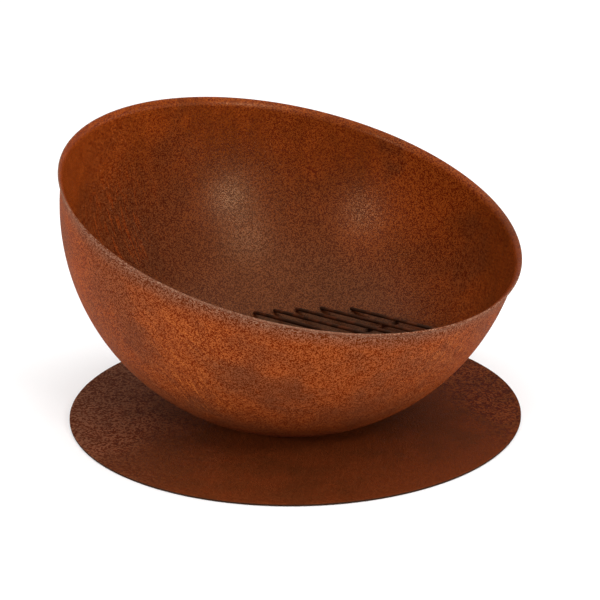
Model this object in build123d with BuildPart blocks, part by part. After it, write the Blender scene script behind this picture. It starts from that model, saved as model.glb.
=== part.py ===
from build123d import *

import os
from math import cos, radians, sin, sqrt

# A fire pit with grate: a spun steel bowl that leans on a flat foot, held to a
# round base plate by a welded stud and nut, with a loose grate of rods inside.
#
# Frame: millimetres, origin at the centre of the base plate's underside, on the
# ground. +Z is up, and +X is the way the bowl leans, to the low side of its rim.

# Base plate
plate_diameter = 600.0
plate_thickness = 3.0
plate_edge_ease = 0.6

# Bowl: a spherical wall, a flat foot, and a lip that flares out at the rim
bowl_radius = 300.0  # outside of the wall
wall_thickness = 2.5
bowl_lean = 15.9  # degrees from upright, towards +X
foot_sink = 15.6  # height of the cap that the flat foot replaces
foot_disc_inset = 0.2  # buries the edge of the foot's disc in the wall
foot_edge_radius = 15.0
foot_hole_diameter = 14.0
lip_start = 2.6  # degrees below the bowl's own equator
lip_bend_radius = 12.0  # outside of the wall
lip_sweep = 58.0  # degrees
lip_edge_ease = 0.6

# Pivot: an M10 stud, washers and nut through the middle of the foot
stud_radius = 5.0
stud_height = 19.0
stud_flange_radius = 6.5
stud_flange_thickness = 1.0
stud_tip_chamfer = 1.0
washer_radius = 20.0
washer_thickness = 3.0
washer_bore_radius = 5.25
washer_edge_ease = 0.4
spring_radius = 8.0
spring_thickness = 2.2
spring_bore_radius = 5.15
spring_gap = 2.0
spring_gap_overrun = 1.0  # how far the cut for the gap runs past the ring
nut_across_flats = 17.0
nut_height = 8.0
nut_bore_radius = 5.05
nut_chamfer_inset = 0.3  # where the nut's round chamfer starts, inside its flats
nut_corner_drop = 1.0  # height lost at the corners to that chamfer
nut_corner_overrun = 0.1  # how far the chamfer's profile runs past the corners

# Grate: parallel rods over one spine, resting in the bowl by their ends
rod_count = 16
rod_diameter = 5.0
rod_pitch = 25.2
rod_end_chamfer = 0.5
rod_clearance = 0.4  # between a rod's end and the wall
grate_radius = 223.0  # circle in which the grate's plane cuts the wall
grate_tilt = 5.9  # degrees
grate_rise_heading = -31.5  # heading, from +X, of the grate's high side
rod_heading = -11.6  # heading, from +X, of the rods
spine_offset = -20.0  # along the rods, from the middle of the grate
spine_overhang = 5.0  # beyond the middle of the outermost rods

edge_search_margin = 0.01

# Worked out from the above
plate_top = plate_thickness
foot_top = plate_top + wall_thickness
bowl_inner_radius = bowl_radius - wall_thickness
bowl_centre = Vector(0, 0, plate_top + bowl_radius - foot_sink)
lean = radians(bowl_lean)
bowl_axis = Axis(bowl_centre, (sin(lean), 0, cos(lean)))
bowl_profile_plane = Plane(bowl_centre, x_dir=(cos(lean), 0, -sin(lean)), z_dir=(0, -1, 0))
foot_cut_radius = sqrt(bowl_radius**2 - (bowl_radius - foot_sink) ** 2)
foot_disc_radius = foot_cut_radius - foot_disc_inset

os.makedirs("parts", exist_ok=True)

# Base plate, cut from sheet, with its sharp edges taken off
with BuildPart() as base_plate:
    with BuildSketch():
        Circle(plate_diameter / 2)
    extrude(amount=plate_thickness)
    fillet(base_plate.edges().filter_by(GeomType.CIRCLE), plate_edge_ease)
base_plate.part.label = "base_plate"
export_step(base_plate.part, "parts/base_plate.step")

# Bowl shell: the wall and its lip are spun about the leaning axis, then the cap
# below the foot is cut away and a flat foot closes the hole
with BuildPart() as bowl_shell:
    with BuildSketch(bowl_profile_plane):
        with BuildLine():
            lip_angle = radians(lip_start)
            lip_reach = bowl_radius + lip_bend_radius
            lip_centre = (lip_reach * cos(lip_angle), -lip_reach * sin(lip_angle))
            wall_sweep = 90 - lip_start
            outer_wall = CenterArc((0, 0), bowl_radius, -90, wall_sweep)
            outer_lip = CenterArc(lip_centre, lip_bend_radius, 180 - lip_start, -lip_sweep)
            inner_lip = CenterArc(
                lip_centre, lip_bend_radius + wall_thickness, 180 - lip_start - lip_sweep, lip_sweep
            )
            inner_wall = CenterArc((0, 0), bowl_inner_radius, -lip_start, -wall_sweep)
            Line(outer_lip @ 1, inner_lip @ 0)
            Line(inner_wall @ 1, outer_wall @ 0)
        make_face()
        lip_corners = vertices().sort_by(Axis.X)[-2:]
        fillet(lip_corners, lip_edge_ease)
    revolve(axis=bowl_axis)
    with BuildSketch(Plane.XY.offset(plate_top)):
        Circle(foot_cut_radius + wall_thickness)
    extrude(amount=-2 * foot_sink, mode=Mode.SUBTRACT)
    with BuildSketch(Plane.XY.offset(plate_top)):
        Circle(foot_disc_radius)
    extrude(amount=wall_thickness)
    foot_edges = bowl_shell.edges().filter_by(GeomType.CIRCLE).filter_by_position(
        Axis.Z, plate_top - edge_search_margin, foot_top + edge_search_margin
    )
    fillet(foot_edges, foot_edge_radius)
    with Locations((0, 0, foot_top)):
        Hole(foot_hole_diameter / 2)
bowl_shell.part.label = "bowl_shell"
export_step(bowl_shell.part, "parts/bowl_shell.step")

# Pivot stud, welded upright on the base plate by its flange
with BuildPart() as pivot_stud:
    with BuildSketch(Plane.XY.offset(plate_top)):
        Circle(stud_flange_radius)
    extrude(amount=stud_flange_thickness)
    with BuildSketch(Plane.XY.offset(plate_top)):
        Circle(stud_radius)
    extrude(amount=stud_height)
    chamfer(pivot_stud.faces().sort_by(Axis.Z)[-1].edges(), stud_tip_chamfer)
pivot_stud.part.label = "pivot_stud"
export_step(pivot_stud.part, "parts/pivot_stud.step")

# Clamp washer, wide enough to hold the foot down and still let the bowl turn
washer_top = foot_top + washer_thickness
with BuildPart() as clamp_washer:
    with BuildSketch(Plane.XY.offset(foot_top)):
        Circle(washer_radius)
        Circle(washer_bore_radius, mode=Mode.SUBTRACT)
    extrude(amount=washer_thickness)
    fillet(clamp_washer.faces().sort_by(Axis.Z)[-1].edges(), washer_edge_ease)
clamp_washer.part.label = "clamp_washer"
export_step(clamp_washer.part, "parts/clamp_washer.step")

# Spring washer, a split ring pressed flat under the nut
spring_top = washer_top + spring_thickness
with BuildPart() as spring_washer:
    with BuildSketch(Plane.XY.offset(washer_top)):
        Circle(spring_radius)
        Circle(spring_bore_radius, mode=Mode.SUBTRACT)
        Rectangle(
            spring_radius + spring_gap_overrun,
            spring_gap,
            align=(Align.MIN, Align.CENTER),
            mode=Mode.SUBTRACT,
        )
    extrude(amount=spring_thickness)
spring_washer.part.label = "spring_washer"
export_step(spring_washer.part, "parts/spring_washer.step")

# Hex nut, with its corners turned off top and bottom
with BuildPart() as hex_nut:
    with BuildSketch(Plane.XY.offset(spring_top)):
        RegularPolygon(nut_across_flats / 2, 6, major_radius=False)
        Circle(nut_bore_radius, mode=Mode.SUBTRACT)
    extrude(amount=nut_height)
    with BuildSketch(Plane.XZ):
        with BuildLine():
            flat_reach = nut_across_flats / 2 - nut_chamfer_inset
            corner_reach = nut_across_flats / sqrt(3) + nut_corner_overrun
            Polyline(
                (0, spring_top),
                (flat_reach, spring_top),
                (corner_reach, spring_top + nut_corner_drop),
                (corner_reach, spring_top + nut_height - nut_corner_drop),
                (flat_reach, spring_top + nut_height),
                (0, spring_top + nut_height),
                close=True,
            )
        make_face()
    revolve(axis=Axis.Z, mode=Mode.INTERSECT)
hex_nut.part.label = "hex_nut"
export_step(hex_nut.part, "parts/hex_nut.step")

# The grate's own plane: its normal leans away from the side that it rises to,
# and its centre lies under the bowl's centre, along that normal
tilt = radians(grate_tilt)
rise = radians(grate_rise_heading)
grate_normal = Vector(-sin(tilt) * cos(rise), -sin(tilt) * sin(rise), cos(tilt))
grate_depth = sqrt(bowl_inner_radius**2 - grate_radius**2)
grate_centre = bowl_centre - grate_normal * grate_depth
heading = Vector(cos(radians(rod_heading)), sin(radians(rod_heading)), 0)
rod_direction = (heading - grate_normal * heading.dot(grate_normal)).normalized()
across_direction = grate_normal.cross(rod_direction)
rod_radius = rod_diameter / 2


def half_length_in_bowl(side_offset, depth):
    """Half the length of a rod whose ends just clear the wall."""
    far_side = sqrt(side_offset**2 + depth**2) + rod_radius
    return sqrt((bowl_inner_radius - rod_clearance) ** 2 - far_side**2)


# Grate rods, numbered across the grate
for index in range(rod_count):
    side_offset = (index - (rod_count - 1) / 2) * rod_pitch
    half_length = half_length_in_bowl(side_offset, grate_depth)
    rod_start = grate_centre + across_direction * side_offset - rod_direction * half_length
    with BuildPart() as grate_rod:
        with BuildSketch(Plane(rod_start, z_dir=rod_direction)):
            Circle(rod_radius)
        extrude(amount=2 * half_length)
        chamfer(grate_rod.edges().filter_by(GeomType.CIRCLE), rod_end_chamfer)
    rod_name = f"grate_rod_{index + 1:02d}"
    grate_rod.part.label = rod_name
    export_step(grate_rod.part, f"parts/{rod_name}.step")

# Grate spine, welded under the rods and square to them
spine_depth = grate_depth + rod_diameter
spine_half_length = (rod_count - 1) / 2 * rod_pitch + spine_overhang
spine_centre = bowl_centre - grate_normal * spine_depth + rod_direction * spine_offset
with BuildPart() as grate_spine:
    with BuildSketch(Plane(spine_centre - across_direction * spine_half_length, z_dir=across_direction)):
        Circle(rod_radius)
    extrude(amount=2 * spine_half_length)
    chamfer(grate_spine.edges().filter_by(GeomType.CIRCLE), rod_end_chamfer)
grate_spine.part.label = "grate_spine"
export_step(grate_spine.part, "parts/grate_spine.step")
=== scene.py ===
from math import cos, pi, radians, sin, sqrt

import bpy
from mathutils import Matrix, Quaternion, Vector


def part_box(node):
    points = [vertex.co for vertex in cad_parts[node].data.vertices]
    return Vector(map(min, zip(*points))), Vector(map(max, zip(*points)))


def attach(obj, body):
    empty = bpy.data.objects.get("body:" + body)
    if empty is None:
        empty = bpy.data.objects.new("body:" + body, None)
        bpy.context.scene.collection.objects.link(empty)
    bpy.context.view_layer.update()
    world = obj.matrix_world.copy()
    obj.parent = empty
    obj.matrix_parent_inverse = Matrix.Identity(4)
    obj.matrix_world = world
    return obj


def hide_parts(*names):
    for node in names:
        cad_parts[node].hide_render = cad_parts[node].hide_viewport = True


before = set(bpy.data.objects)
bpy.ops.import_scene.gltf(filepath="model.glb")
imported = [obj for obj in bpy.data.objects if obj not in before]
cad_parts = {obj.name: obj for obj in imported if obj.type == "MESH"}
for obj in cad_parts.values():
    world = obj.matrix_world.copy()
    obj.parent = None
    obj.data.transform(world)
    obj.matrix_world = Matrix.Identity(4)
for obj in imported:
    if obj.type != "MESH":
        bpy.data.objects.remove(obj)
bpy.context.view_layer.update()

# ----------------------------------------------------------------- base plate
# The base plate is a disc laser-cut from 3 mm weathering steel. It lies on the
# ground under its own weight, and its top has rusted to a dark, even brown.


class Patina:
    """A socket in a finish's node tree. Arithmetic on it adds Math nodes."""

    def __init__(self, socket):
        self.socket = socket

    def node(self, kind, settings, sockets, output=None):
        """Adds a node: its settings first, then the values or links of its sockets."""
        made = self.socket.id_data.nodes.new("ShaderNode" + kind)
        for name, value in settings.items():
            setattr(made, name, value)
        for name, value in sockets.items():
            target = next(s for s in made.inputs if name in (s.identifier, s.name) and s.enabled)
            if isinstance(value, Patina):
                self.socket.id_data.links.new(value.socket, target)
            elif target.type == "RGBA":
                target.default_value = (*value, 1.0)
            else:
                target.default_value = value
        return Patina(next(s for s in made.outputs if s.enabled and output in (None, s.name)))

    def math(self, operation, first, second):
        return self.node("Math", {"operation": operation}, {"Value": first, "Value_001": second})

    def __add__(self, other):
        return self.math("ADD", self, other)

    def __sub__(self, other):
        return self.math("SUBTRACT", self, other)

    def __rsub__(self, other):
        return self.math("SUBTRACT", other, self)

    def __mul__(self, other):
        return self.math("MULTIPLY", self, other)

    __radd__ = __add__
    __rmul__ = __mul__

    def fade(self, low, high):
        """0 at low, 1 at high, and smooth between them."""
        settings = {"interpolation_type": "SMOOTHSTEP"}
        return self.node("MapRange", settings, {"Value": self, "From Min": low, "From Max": high})

    def clouds(self, cells, detail=4.0, roughness=0.55):
        """Soft noise about 0.5, with this many cells to a metre."""
        sockets = {"Vector": self, "Scale": cells, "Detail": detail, "Roughness": roughness}
        return self.node("TexNoise", {}, sockets)

    def grains(self, cells):
        """An even random value from 0 to 1 for each small grain, with this many grains to a metre."""
        speckle = self.node("TexVoronoi", {}, {"Vector": self, "Scale": cells}, "Color")
        return self.node("SeparateColor", {}, {"Color": speckle})

    def stretched(self, x, y, z):
        """The same place or colour, scaled along each axis or channel."""
        sockets = {"Vector": self, "Vector_001": (x, y, z)}
        return self.node("VectorMath", {"operation": "MULTIPLY"}, sockets)

    def along(self, direction):
        """How far this place lies along a direction, in metres."""
        sockets = {"Vector": self, "Vector_001": direction}
        return self.node("VectorMath", {"operation": "DOT_PRODUCT"}, sockets)

    def near(self, point, reach):
        """1 at a point, and 0 beyond this reach from it in metres."""
        sockets = {"Vector": self, "Vector_001": point}
        away = self.node("VectorMath", {"operation": "DISTANCE"}, sockets, "Value")
        return away.fade(reach, 0.0)

    def wandering(self, cells, reach):
        """The same place moved about by soft noise, so that a patch gets a ragged edge."""
        drift = self.node("TexNoise", {}, {"Vector": self, "Scale": cells, "Detail": 4.0}, "Color")
        middle = (0.5, 0.5, 0.5)
        drift = self.node("VectorMath", {"operation": "SUBTRACT"}, {"Vector": drift, "Vector_001": middle})
        drift = drift.stretched(reach, reach, reach)
        return self.node("VectorMath", {"operation": "ADD"}, {"Vector": self, "Vector_001": drift})

    def brushed(self, direction, stretch):
        """The same place squeezed along a direction, so that noise on it is drawn out into strokes."""
        pull = tuple(part * (1 / stretch - 1) for part in direction)
        sockets = {"Vector": pull, "Scale": self.along(direction)}
        drawn = self.node("VectorMath", {"operation": "SCALE"}, sockets)
        return self.node("VectorMath", {"operation": "ADD"}, {"Vector": self, "Vector_001": drawn})

    def lay(self, over, under):
        """A colour over another, where this is 1."""
        sockets = {"Factor_Float": self, "A_Color": under, "B_Color": over}
        return self.node("Mix", {"data_type": "RGBA"}, sockets)

    def shade(self, colour):
        """A colour, darker or lighter by this factor."""
        return self.node("VectorMath", {"operation": "SCALE"}, {"Vector": colour, "Scale": self})


def new_finish(name, specular, tint):
    """A bare material, its shader, and the place on the piece in metres."""
    material = bpy.data.materials.new(name)
    material.use_nodes = True
    shader = material.node_tree.nodes["Principled BSDF"]
    shader.inputs["Specular IOR Level"].default_value = specular
    shader.inputs["Specular Tint"].default_value = (*tint, 1.0)
    place = Patina(material.node_tree.nodes.new("ShaderNodeTexCoord").outputs["Object"])
    return material, shader, place


def feed(shader, colour, roughness, height, bump_depth):
    """Joins the varying colour, roughness and height, in metres of relief, to a shader."""
    links = shader.id_data.links
    links.new(colour.socket, shader.inputs["Base Color"])
    links.new(roughness.socket, shader.inputs["Roughness"])
    normal = height.node("Bump", {}, {"Height": height, "Strength": 1.0, "Distance": bump_depth})
    links.new(normal.socket, shader.inputs["Normal"])


def speckled(colour, grain, strength):
    """The colour broken into dark, rich grains and pale, greyer ones."""
    dark = colour.stretched(0.56, 0.28, 0.0)
    pale = colour.stretched(1.44, 1.76, 2.2)
    return ((grain.fade(0.2, 0.8) - 0.5) * strength + 0.5).lay(pale, dark)


def loft(name, rings, finishes, finish_of_ring=lambda index: 0, closed=False):
    """A mesh skinned over rings of points; a ring of one point is a pole."""
    starts = []
    points = []
    for ring in rings:
        starts.append(len(points))
        points.extend(ring)
    faces = []
    slots = []
    last = len(rings) if closed else len(rings) - 1
    for index in range(last):
        after = (index + 1) % len(rings)
        low, high = rings[index], rings[after]
        count = max(len(low), len(high))
        for k in range(count):
            m = (k + 1) % count
            if len(low) == 1:
                face = (starts[index], starts[after] + m, starts[after] + k)
            elif len(high) == 1:
                face = (starts[index] + k, starts[index] + m, starts[after])
            else:
                face = (starts[index] + k, starts[index] + m, starts[after] + m, starts[after] + k)
            faces.append(face)
            slots.append(finish_of_ring(index))
    mesh = bpy.data.meshes.new(name)
    mesh.from_pydata(points, [], faces)
    mesh.polygons.foreach_set("material_index", slots)
    mesh.polygons.foreach_set("use_smooth", [True] * len(faces))
    for finish in finishes:
        mesh.materials.append(finish)
    piece = bpy.data.objects.new(name, mesh)
    bpy.context.collection.objects.link(piece)
    return piece


def circle(radius, height, count):
    """A level ring of points about the upright axis."""
    if radius == 0:
        return [Vector((0, 0, height))]
    turn = 2 * pi / count
    return [Vector((radius * cos(k * turn), radius * sin(k * turn), height)) for k in range(count)]


plate_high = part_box("base_plate")[1]
plate_radius = plate_high[1]
plate_top = plate_high[2]
plate_edge_ease = 0.0006
plate_sides = 360
plate_ring_shares = (0.2, 0.5, 0.8, 0.98)  # of the plate's radius
edge_steps = 4  # in the quarter round of each edge
plate_rings = [circle(0, 0, plate_sides)]
plate_rings += [circle(plate_radius * share, 0, plate_sides) for share in plate_ring_shares]
for step in range(edge_steps + 1):
    angle = pi / 2 * step / edge_steps
    inset = plate_edge_ease * (1 - sin(angle))
    plate_rings.append(circle(plate_radius - inset, plate_edge_ease * (1 - cos(angle)), plate_sides))
for step in range(edge_steps + 1):
    angle = pi / 2 * step / edge_steps
    inset = plate_edge_ease * (1 - cos(angle))
    height = plate_top - plate_edge_ease * (1 - sin(angle))
    plate_rings.append(circle(plate_radius - inset, height, plate_sides))
plate_rings += [circle(plate_radius * share, plate_top, plate_sides) for share in plate_ring_shares[::-1]]
plate_rings.append(circle(0, plate_top, plate_sides))

plate_brown = (0.080, 0.0170, 0.0038)
plate_red = (0.106, 0.0200, 0.0042)
painted_sheen_grey = (0.104, 0.0375, 0.0175)
plate_cut_edge = (0.032, 0.0120, 0.0060)
plate_finish, shader, place = new_finish("plate_rust", 0.05, (1.0, 0.6, 0.4))
broad = place.clouds(5, 3)
grain = place.grains(400)
fine = place.clouds(800, 1)
tone = broad * 0.7 + place.clouds(30, 4) * 0.3
colour = tone.fade(0.42, 0.58).lay(plate_red, plate_brown)
# A grey sheen is painted over the plate's left side, where the grain is also made stronger.
painted_sheen_side = (place.along((-0.8, -0.35, 0.0)) + broad * 0.25).fade(0.16, 0.42)
far_side = (place.along((0.42, 0.9, 0.0)) + broad * 0.2).fade(0.26, 0.40)
colour = (painted_sheen_side * 0.7).lay(painted_sheen_grey, colour)
colour = speckled(colour, grain, 0.2 + (painted_sheen_side + far_side) * 1.8)
front_side = place.along((-0.25, -0.95, 0)).fade(0.10, 0.26)
colour = (1 + front_side * 0.22).shade(colour)
# The side edge of the plate is painted dark.
dark_side_edge = place.along((0, 0, 1)).fade(plate_top - 0.0002, plate_top - 0.0008)
colour = dark_side_edge.lay(plate_cut_edge, colour)
feed(shader, colour, 0.55 + grain * 0.2, fine + grain * 0.2, 0.0008)

plate_piece = loft("rusted_plate", plate_rings, [plate_finish])
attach(plate_piece, "base")
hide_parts("base_plate")

# ------------------------------------------------------------- pivot hardware
# An M10 stud is welded to the plate and passes through the bowl's foot. A wide
# washer, a spring washer and a nut of zinc-plated steel, stained by rust, hold it.
zinc_grey = (0.30, 0.28, 0.25)
zinc_stain = (0.16, 0.062, 0.022)
hardware_finish, shader, place = new_finish("stained_zinc", 0.5, (1.0, 1.0, 1.0))
shader.inputs["Metallic"].default_value = 0.7
stain = place.clouds(160, 5, 0.65)
scuffs = place.clouds(1400, 2)
colour = stain.fade(0.45, 0.58).lay(zinc_stain, zinc_grey)
feed(shader, colour, 0.35 + stain * 0.4, stain * 0.6 + scuffs * 0.4, 0.0003)

thread_pitch = 0.0015
thread_depth = 0.0009
thread_sides = 48
thread_steps = 8  # rings to one turn of the thread
stud_low, stud_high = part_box("pivot_stud")
stud_radius = 0.005
flange_radius = stud_high[0]
flange_thickness = 0.001
flange_top = stud_low[2] + flange_thickness
tip_chamfer = 0.001
stud_rings = [circle(0, stud_low[2], thread_sides)]
stud_rings += [circle(flange_radius, height, thread_sides) for height in (stud_low[2], flange_top)]
thread_rows = round((stud_high[2] - flange_top) / thread_pitch * thread_steps)
for row in range(thread_rows + 1):
    height = flange_top + (stud_high[2] - flange_top) * row / thread_rows
    tip_limit = stud_radius - max(0.0, height - (stud_high[2] - tip_chamfer))
    ring = []
    for k in range(thread_sides):
        turn = k / thread_sides
        groove = abs(2 * ((height / thread_pitch - turn) % 1.0) - 1)
        radius = min(stud_radius - thread_depth * groove, tip_limit)
        ring.append(Vector((radius * cos(2 * pi * turn), radius * sin(2 * pi * turn), height)))
    stud_rings.append(ring)
stud_rings.append(circle(0, stud_high[2], thread_sides))
stud_piece = loft("threaded_stud", stud_rings, [hardware_finish])
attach(stud_piece, "base")
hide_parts("pivot_stud")
for node in ("clamp_washer", "spring_washer", "hex_nut"):
    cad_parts[node].data.materials.clear()
    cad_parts[node].data.materials.append(hardware_finish)

# ----------------------------------------------------------------------- bowl
# The bowl is a half sphere spun from 2.5 mm weathering steel, with a flat foot
# pressed into it that makes it lean, and a lip flared out at the rim. Its outside
# has rusted to a blotchy orange brown, and its inside is darker from the fires.
steel = 0.0025
bowl_radius = 0.300
bowl_lean = radians(15.9)
foot_sink = 0.0156
foot_hole_radius = 0.007
lip_start = radians(2.6)
lip_bend_radius = 0.012
lip_sweep = radians(58)
lip_edge_ease = 0.0006
bowl_sides = 360
wall_rows = 90
lip_rows = 10
foot_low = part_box("bowl_shell")[0][2]
bowl_centre = Vector((0, 0, foot_low + bowl_radius - foot_sink))
bowl_axis = Vector((sin(bowl_lean), 0, cos(bowl_lean)))
bowl_side = Vector((cos(bowl_lean), 0, -sin(bowl_lean)))
bowl_cross = Vector((0, 1, 0))


def leaning_circle(radius, height):
    """A ring about the bowl's leaning axis, with its height along that axis."""
    turn = 2 * pi / bowl_sides
    return [
        bowl_centre + bowl_axis * height + (bowl_side * cos(k * turn) + bowl_cross * sin(k * turn)) * radius
        for k in range(bowl_sides)
    ]


def wall_rings(radius, foot_height):
    """Rings on a sphere that turn from the level foot to the leaning lip."""
    depth = bowl_centre.z - foot_height
    foot_ring = circle(sqrt(radius**2 - depth**2), foot_height, bowl_sides)
    lip_ring = leaning_circle(radius * cos(lip_start), -radius * sin(lip_start))
    rings = []
    for row in range(wall_rows + 1):
        share = row / wall_rows
        ring = []
        for low, high in zip(foot_ring, lip_ring):
            start = (low - bowl_centre).normalized()
            end = (high - bowl_centre).normalized()
            ring.append(bowl_centre + start.slerp(end, share) * radius)
        rings.append(ring)
    return rings


def lip_rings(bend_radius):
    """Rings round the flare of the lip, from the wall to its edge."""
    reach = bowl_radius + lip_bend_radius
    sweep = lip_sweep - lip_edge_ease / bend_radius
    rings = []
    for row in range(1, lip_rows + 1):
        angle = pi - lip_start - sweep * row / lip_rows
        rings.append(leaning_circle(reach * cos(lip_start) + bend_radius * cos(angle),
                                    -reach * sin(lip_start) + bend_radius * sin(angle)))
    return rings


outside = wall_rings(bowl_radius, foot_low) + lip_rings(lip_bend_radius)
inside = wall_rings(bowl_radius - steel, foot_low + steel) + lip_rings(lip_bend_radius + steel)
edge = []
edge_rows = 7
crown_power = 4  # how square the crown of the edge is
for row in range(1, edge_rows):
    share = row / edge_rows
    crown = lip_edge_ease * (1 - (2 * share - 1) ** crown_power)
    ring = []
    for outer, inner, before in zip(outside[-1], inside[-1], outside[-2]):
        outward = (outer - before).normalized()
        ring.append(outer.lerp(inner, share) + outward * crown)
    edge.append(ring)
foot_radii = (foot_hole_radius, 0.012, 0.03, 0.06, 0.09)
bowl_rings = [circle(radius, foot_low, bowl_sides) for radius in foot_radii]
bowl_rings += outside + edge + inside[::-1]
bowl_rings += [circle(radius, foot_low + steel, bowl_sides) for radius in foot_radii[::-1]]
outside_count = len(foot_radii) + len(outside) + len(edge)

orange = (0.190, 0.0360, 0.0065)
brown = (0.138, 0.0310, 0.0085)
fresh_orange = (0.212, 0.0400, 0.0075)
patch_and_shade_brown = (0.112, 0.0275, 0.0090)
stroke_orange = (0.300, 0.0700, 0.0120)
lip_grey = (0.125, 0.0440, 0.0210)
edge_grey = (0.180, 0.0850, 0.0520)
painted_glint_pale = (0.340, 0.2000, 0.1300)
outside_finish, shader, place = new_finish("bowl_rust_outside", 0.05, (1.0, 0.6, 0.35))
height = place.along(tuple(bowl_axis)) - bowl_centre.dot(bowl_axis)
broad = place.clouds(9, 4, 0.6)
blotch = place.clouds(26, 5, 0.62)
left_strokes = place.brushed((0.66, 0.29, -0.70), 12)
steep_strokes = place.brushed((0.07, 0.57, -0.82), 14)
right_strokes = place.brushed((-0.12, -0.35, -0.93), 12)
grain = place.grains(820)
fine = place.clouds(800, 1)
tone = broad * 0.6 + blotch * 0.2 + left_strokes.clouds(60, 3, 0.6) * 0.2
colour = tone.fade(0.40, 0.60).lay(orange, brown)
ragged = place.wandering(22, 0.16)
fresh = ragged.near((0.05, -0.29, 0.230), 0.07) + ragged.near((0.16, -0.25, 0.212), 0.07)
fresh = fresh + ragged.near((0.27, -0.03, 0.170), 0.05) + ragged.near((0.18, -0.18, 0.125), 0.05)
colour = (fresh * 0.5).lay(fresh_orange, colour)
# Darker brown patches, and painted shade that darkens the outside towards the foot.
dark_patches_and_foot_shade = ragged.near((-0.01, -0.28, 0.182), 0.05) + ragged.near((0.120, -0.250, 0.175), 0.05)
dark_patches_and_foot_shade = dark_patches_and_foot_shade + ragged.near((0.145, -0.21, 0.130), 0.06) + ragged.near((0.185, -0.105, 0.075), 0.09)
dark_patches_and_foot_shade = dark_patches_and_foot_shade + ragged.near((0.035, -0.212, 0.078), 0.05) + height.fade(-0.15, -0.28)
colour = (dark_patches_and_foot_shade * 0.7).lay(patch_and_shade_brown, colour)
low_marks = steep_strokes.clouds(330, 2, 0.5).fade(0.55, 0.61) * place.near((0.035, -0.243, 0.115), 0.08)
left_marks = left_strokes.clouds(170, 3, 0.5).fade(0.50, 0.62) * place.near((0.05, -0.28, 0.195), 0.08)
right_marks = right_strokes.clouds(200, 3, 0.5).fade(0.50, 0.60) * place.near((0.27, -0.03, 0.165), 0.07)
colour = ((low_marks * 1.5 + left_marks + right_marks) * 0.5).lay(stroke_orange, colour)
lip_wear = (height + blotch * 0.012).fade(-0.026, -0.006)
colour = (lip_wear * 0.6).lay(lip_grey, colour)
colour = speckled(colour, grain, 1.1 - dark_patches_and_foot_shade * 0.4)
# Pale specks along the rim are painted glints.
painted_rim_glints = grain.fade(0.72, 0.86) * height.fade(-0.018, -0.006)
colour = (painted_rim_glints * 0.6).lay(painted_glint_pale, colour)
edge_wear = height.fade(-0.0045, -0.0032)
colour = (edge_wear * broad.fade(0.35, 0.65) * 0.7).lay(edge_grey, colour)
feed(shader, colour, 0.6 + grain * 0.2, fine + grain * 0.3, 0.0005)

soot = (0.104, 0.0220, 0.0050)
rust_red = (0.122, 0.0205, 0.0022)
ember_red = (0.184, 0.0295, 0.0030)
fire_stain = (0.078, 0.0175, 0.0045)
streak_red = (0.215, 0.0310, 0.0025)
inside_finish, shader, place = new_finish("bowl_rust_inside", 0.26, (1.0, 0.63, 0.36))
height = place.along(tuple(bowl_axis)) - bowl_centre.dot(bowl_axis)
broad = place.clouds(7, 3, 0.55)
blotch = place.clouds(24, 4, 0.6)
ragged = place.wandering(22, 0.16)
drips = place.brushed((0.3, 0.1, -0.95), 12)
grain = place.grains(800)
fine = place.clouds(800, 1)
burnt = (height + broad * 0.10 - 0.05).fade(-0.06, -0.20)
glow = ragged.near((0.02, 0.285, 0.235), 0.11) * 0.10
tone = broad * 0.6 + blotch * 0.25 + glow + drips.clouds(90, 3, 0.6) * 0.15
tone = tone + height.fade(-0.12, -0.03) * 0.06
colour = tone.fade(0.38, 0.62).lay(ember_red, rust_red)
colour = (burnt * 0.85).lay(soot, colour)
stain = ragged.near((-0.28, 0.094, 0.285), 0.08) + ragged.near((-0.055, 0.292, 0.265), 0.05)
stain = stain + ragged.near((0.11, 0.250, 0.165), 0.09) + ragged.near((-0.25, 0.00, 0.125), 0.09)
stain = stain + ragged.near((-0.28, -0.04, 0.225), 0.15)
colour = (stain * 0.6).lay(fire_stain, colour)
# Below the grate's level the inside is darkened: soot, and painted shade under the rods.
soot_and_shade_below_grate = (place.along((-0.088, 0.054, 0.995)) + blotch * 0.012).fade(0.096, 0.082)
colour = (1 - soot_and_shade_below_grate * 0.5).shade(colour)
streaks = drips.clouds(260, 2, 0.5).fade(0.54, 0.62) * place.near((-0.29, -0.03, 0.215), 0.15)
colour = (streaks * 0.55).lay(streak_red, colour)
colour = speckled(colour, grain, 0.8 + broad.fade(0.4, 0.6) * 0.4 + burnt * 1.0)
feed(shader, colour, 0.41 - grain * 0.20, fine + grain * 0.3, 0.00015)

bowl_piece = loft("rusted_bowl", bowl_rings, [outside_finish, inside_finish],
                  lambda index: 0 if index < outside_count else 1, closed=True)
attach(bowl_piece, "bowl")
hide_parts("bowl_shell")

# ---------------------------------------------------------------------- grate
# The grate is plain 5 mm steel rod: parallel rods welded square across one spine.
# It lies loose in the bowl on the rods' cut ends, black with soot and scale.
rod_names = [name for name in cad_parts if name.startswith("grate_rod")]
soot_black = (0.026, 0.0085, 0.0035)
scale_brown = (0.085, 0.0200, 0.0060)
grate_finish, shader, place = new_finish("sooty_rod", 0.2, (1.0, 0.7, 0.5))
burn = place.clouds(45, 4, 0.6)
grain = place.clouds(700, 3, 0.65)
colour = burn.fade(0.42, 0.62).lay(scale_brown, soot_black)
colour = (0.5 + grain).shade(colour)
feed(shader, colour, 0.5 + grain * 0.3, grain, 0.0006)
for node in rod_names + ["grate_spine"]:
    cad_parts[node].data.materials.clear()
    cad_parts[node].data.materials.append(grate_finish)

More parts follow.
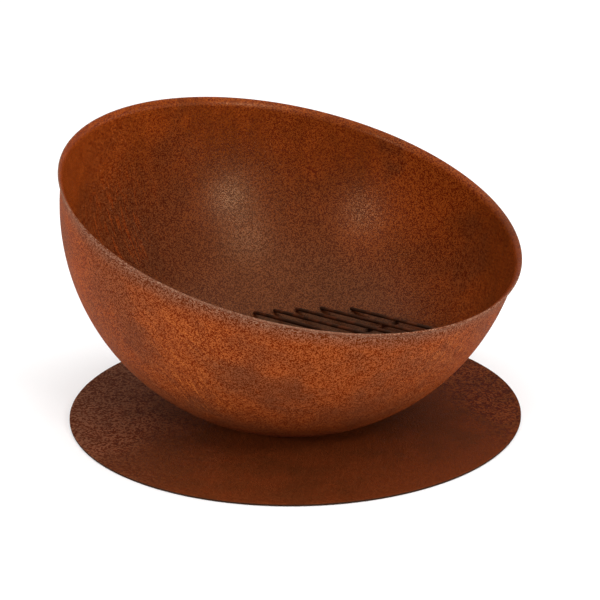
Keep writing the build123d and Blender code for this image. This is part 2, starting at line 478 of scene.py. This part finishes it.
# ----------------------------------------------------------------- weld beads
# A small bead of weld steel joins each rod to the spine where they cross. The
# beads were never ground smooth, and they are as sooty as the rods.
bead_width = 0.0034
bead_height = 0.0026
bead_rows = 6
bead_sides = 12
rod_radius = 0.0025
spine_offset = -0.020  # along the rods, from their middles
rod_boxes = [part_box(name) for name in sorted(rod_names)]
rod_middles = [(Vector(low) + Vector(high)) / 2 for low, high in rod_boxes]
grate_normal = (bowl_centre - (rod_middles[0] + rod_middles[-1]) / 2).normalized()
rod_run = (rod_middles[-1] - rod_middles[0]).normalized().cross(grate_normal)
for number, middle in enumerate(rod_middles, 1):
    crossing = middle + rod_run * spine_offset - grate_normal * rod_radius
    bead_rings = [[crossing + Vector((0, 0, -bead_height))]]
    for row in range(1, bead_rows):
        angle = pi * row / bead_rows
        level_ring = circle(bead_width * sin(angle), -bead_height * cos(angle), bead_sides)
        bead_rings.append([crossing + point for point in level_ring])
    bead_rings.append([crossing + Vector((0, 0, bead_height))])
    bead_piece = loft(f"weld_bead_{number:02d}", bead_rings, [grate_finish])
    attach(bead_piece, "grate")

# --------------------------------------------------------------------- studio
# A pale floor, an even white surround, and a broad glow from above. Three soft
# boxes show as sheens inside the bowl, and two at the sides don't show in it.
floor_size = 60
floor_drop = 0.0005  # keeps the floor just clear of the plate
bpy.ops.mesh.primitive_plane_add(size=floor_size, location=(0, 0, -floor_drop))
floor = bpy.context.object
floor.name = "studio_floor"
floor_finish = bpy.data.materials.new("floor_paint")
floor_finish.use_nodes = True
floor_shader = floor_finish.node_tree.nodes["Principled BSDF"]
floor_shader.inputs["Base Color"].default_value = (0.95, 0.95, 0.95, 1.0)
floor_shader.inputs["Roughness"].default_value = 1.0
floor_shader.inputs["Specular IOR Level"].default_value = 0.0
floor.data.materials.append(floor_finish)

world = bpy.data.worlds.new("studio")
world.use_nodes = True
world.node_tree.nodes["Background"].inputs["Color"].default_value = (1.0, 1.0, 1.0, 1.0)
world.node_tree.nodes["Background"].inputs["Strength"].default_value = 0.35
bpy.context.scene.world = world


def soft_box(name, heading, elevation, distance, size, power, mirrored=True):
    """A square light that faces the middle of the bowl, and shows in sheens only if mirrored."""
    light = bpy.data.lights.new(name, "AREA")
    light.size = size
    light.energy = power
    lamp = bpy.data.objects.new(name, light)
    bpy.context.collection.objects.link(lamp)
    level = cos(radians(elevation))
    toward = Vector((level * cos(radians(heading)), level * sin(radians(heading)), sin(radians(elevation))))
    lamp.location = bowl_centre + toward * distance
    lamp.rotation_euler = toward.to_track_quat("Z", "Y").to_euler()
    lamp.visible_glossy = mirrored


soft_box("right_soft_box", -16, 10, 2.6, 0.29, 22)
soft_box("right_high_box", -21, 33, 2.6, 0.45, 13)
soft_box("left_soft_box", -93, 18, 2.6, 0.25, 12)
soft_box("right_side_box", 42, 8, 3.4, 0.9, 52, mirrored=False)
soft_box("left_side_box", -140, 6, 3.4, 0.9, 58, mirrored=False)
sky = bpy.data.lights.new("ceiling_glow", "SUN")
sky.energy = 2.2
sky.angle = radians(100)
sky_lamp = bpy.data.objects.new("ceiling_glow", sky)
bpy.context.collection.objects.link(sky_lamp)

camera_distance = 3.0
camera_heading = radians(-52.0)
camera_elevation = radians(20.14)
camera_roll = radians(-0.57)
camera_target = Vector((0.0062, 0.0047, 0.1563))
camera = bpy.data.objects.new("camera", bpy.data.cameras.new("camera"))
camera.data.lens = 137.3
camera.data.sensor_width = 36
camera.data.clip_end = 100
level = cos(camera_elevation)
back = Vector((level * cos(camera_heading), level * sin(camera_heading), sin(camera_elevation)))
camera.location = camera_target + back * camera_distance
camera.rotation_mode = "QUATERNION"
camera.rotation_quaternion = back.to_track_quat("Z", "Y") @ Quaternion((0, 0, 1), camera_roll)
bpy.context.collection.objects.link(camera)
bpy.context.scene.camera = camera
bpy.context.scene.view_settings.view_transform = "Standard"
